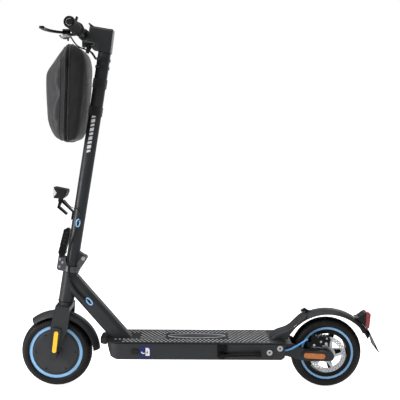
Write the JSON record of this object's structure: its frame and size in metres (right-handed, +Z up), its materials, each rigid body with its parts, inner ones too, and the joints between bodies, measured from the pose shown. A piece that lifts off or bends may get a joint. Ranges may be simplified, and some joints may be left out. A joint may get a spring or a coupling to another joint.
{
  "type": "electric kick scooter",
  "caption": "Folding electric kick scooter with rubber tyres, rubber deck mat, disc brake, hard-shell stem bag, headlight and kickstand.",
  "frame": {"origin": "on the floor, below the middle of the scooter's length", "axes": "+X towards the rear wheel, -Y the rider's left, +Z up; the front wheel is at -X"},
  "size_m": [1.0964, 0.47, 1.0985],
  "materials": {
    "frame_paint": "satin",
    "motor_paint": "satin",
    "black_metal": "satin",
    "cast_metal": "satin",
    "steel": "satin",
    "black_plastic": "matt",
    "grey_plastic": "satin",
    "grip_rubber": "matt",
    "mat_rubber": "matt",
    "tyre_rubber": "matt",
    "blue_trim": "gloss",
    "yellow_reflector": "gloss",
    "orange_reflector": "gloss",
    "red_lens": "gloss",
    "clear_lens": "gloss",
    "display_glass": "gloss",
    "battery_wrap": "gloss",
    "bag_fabric": "matt",
    "strap_fabric": "matt",
    "black_cable": "satin",
    "blue_cable": "satin"
  },
  "bodies": {
    "frame": {"deck_shell": "frame_paint", "neck_frame": "frame_paint", "deck_mat": "mat_rubber", "battery_cover": "black_plastic", "battery_cover_screws": "steel", "battery_pack": "battery_wrap", "motor_controller": "cast_metal", "charge_socket": "black_plastic", "rear_fork": "frame_paint", "rear_fork_bolts": "steel", "rear_fork_covers": "grey_plastic", "rear_reflectors": "orange_reflector", "rear_fender": "grey_plastic", "fender_hook": "black_metal", "tail_light_housing": "black_plastic", "tail_light_lens": "red_lens", "mud_flap": "black_plastic", "kickstand_bracket": "black_metal", "rear_axle": "steel", "brake_caliper": "black_metal", "rear_brake_cable": "blue_cable", "headset_bearings": "steel", "harness_lower": "black_cable"},
    "charge_cap": {"charge_cap": "grip_rubber"},
    "kickstand": {"kickstand_leg": "black_metal"},
    "caliper_arm": {"caliper_arm": "black_metal"},
    "rear_wheel": {"rear_rim": "black_metal", "rear_tyre": "tyre_rubber", "rear_rim_ring": "blue_trim", "brake_rotor": "steel", "rear_wheel_bearings": "steel"},
    "steering": {"fork": "frame_paint", "fork_covers": "grey_plastic", "fork_reflectors": "yellow_reflector", "front_fender": "grey_plastic", "front_axle": "steel", "folding_base": "cast_metal", "fold_pin": "steel"},
    "front_wheel": {"hub_motor": "motor_paint", "motor_screws": "black_metal", "front_tyre": "tyre_rubber", "front_rim_ring": "blue_trim"},
    "stem": {"stem_tube": "frame_paint", "stem_head": "frame_paint", "display_panel": "display_glass", "handlebar": "black_metal", "handlebar_grips": "grip_rubber", "control_clamps": "black_plastic", "bag": "bag_fabric", "bag_straps": "strap_fabric", "headlight_bracket": "black_metal", "control_cables": "black_cable", "harness_upper": "black_cable"},
    "latch_lever": {"latch_lever": "black_metal"},
    "brake_lever": {"brake_lever": "black_metal"},
    "throttle_lever": {"throttle_lever": "black_plastic"},
    "bell_striker": {"bell_striker": "black_plastic"},
    "power_button": {"power_button": "black_plastic"},
    "headlight": {"headlight": "black_plastic", "headlight_lens": "clear_lens"}
  },
  "joints": [
    {"name": "steering_turn", "type": "hinge", "parent": "frame", "child": "steering", "pos_m": [-0.4365, 0, 0.108], "axis": [0.1633, 0, 0.9866], "range_deg": [-45, 45], "deforming": ["harness_lower"]},
    {"name": "front_wheel_spin", "type": "hinge", "parent": "steering", "child": "front_wheel", "pos_m": [-0.4402, 0, 0.108], "axis": [0, 1, 0], "continuous": true},
    {"name": "rear_wheel_spin", "type": "hinge", "parent": "frame", "child": "rear_wheel", "pos_m": [0.3871, 0, 0.108], "axis": [0, 1, 0], "continuous": true},
    {"name": "stem_fold", "type": "hinge", "parent": "steering", "child": "stem", "pos_m": [-0.35348, 0, 0.39702], "axis": [0, 1, 0], "range_deg": [0, 95], "deforming": ["harness_upper"]},
    {"name": "latch_open", "type": "hinge", "parent": "steering", "child": "latch_lever", "pos_m": [-0.42008, 0, 0.41474], "axis": [0, -1, 0], "range_deg": [0, 95]},
    {"name": "brake_pull", "type": "hinge", "parent": "stem", "child": "brake_lever", "pos_m": [-0.37567, -0.098, 1.05497], "axis": [0, 0, 1], "range_deg": [0, 20], "stiffness_Nm_per_rad": 0.8, "springref_deg": -11.46},
    {"name": "throttle_push", "type": "hinge", "parent": "stem", "child": "throttle_lever", "pos_m": [-0.34567, 0.1098, 1.06197], "axis": [0, 1, 0], "range_deg": [0, 30], "stiffness_Nm_per_rad": 0.2, "springref_deg": -11.46},
    {"name": "bell_ring", "type": "hinge", "parent": "stem", "child": "bell_striker", "pos_m": [-0.35467, -0.104, 1.07947], "axis": [0, 1, 0], "range_deg": [0, 15], "stiffness_Nm_per_rad": 0.05, "springref_deg": -11.46},
    {"name": "power_press", "type": "slide", "parent": "stem", "child": "power_button", "axis": [-0.1633, 0, -0.9866], "range_m": [0, 0.0015], "stiffness_N_per_m": 400, "springref_m": -0.001},
    {"name": "headlight_tilt", "type": "hinge", "parent": "stem", "child": "headlight", "pos_m": [-0.42369, 0, 0.57113], "axis": [0, 1, 0], "range_deg": [-15, 15]},
    {"name": "kickstand_swing", "type": "hinge", "parent": "frame", "child": "kickstand", "pos_m": [0.0652, -0.0855, 0.1188], "axis": [0, 1, 0], "range_deg": [0, 105]},
    {"name": "charge_cap_open", "type": "hinge", "parent": "frame", "child": "charge_cap", "pos_m": [-0.1932, -0.0767, 0.137], "axis": [-1, 0, 0], "range_deg": [0, 115]},
    {"name": "caliper_pull", "type": "hinge", "parent": "frame", "child": "caliper_arm", "pos_m": [0.3641, -0.046, 0.152], "axis": [0, -1, 0], "range_deg": [0, 12]}
  ],
  "couplings": [
    {"joint": "caliper_pull", "follows": "brake_pull", "ratio": 0.6}
  ]
}
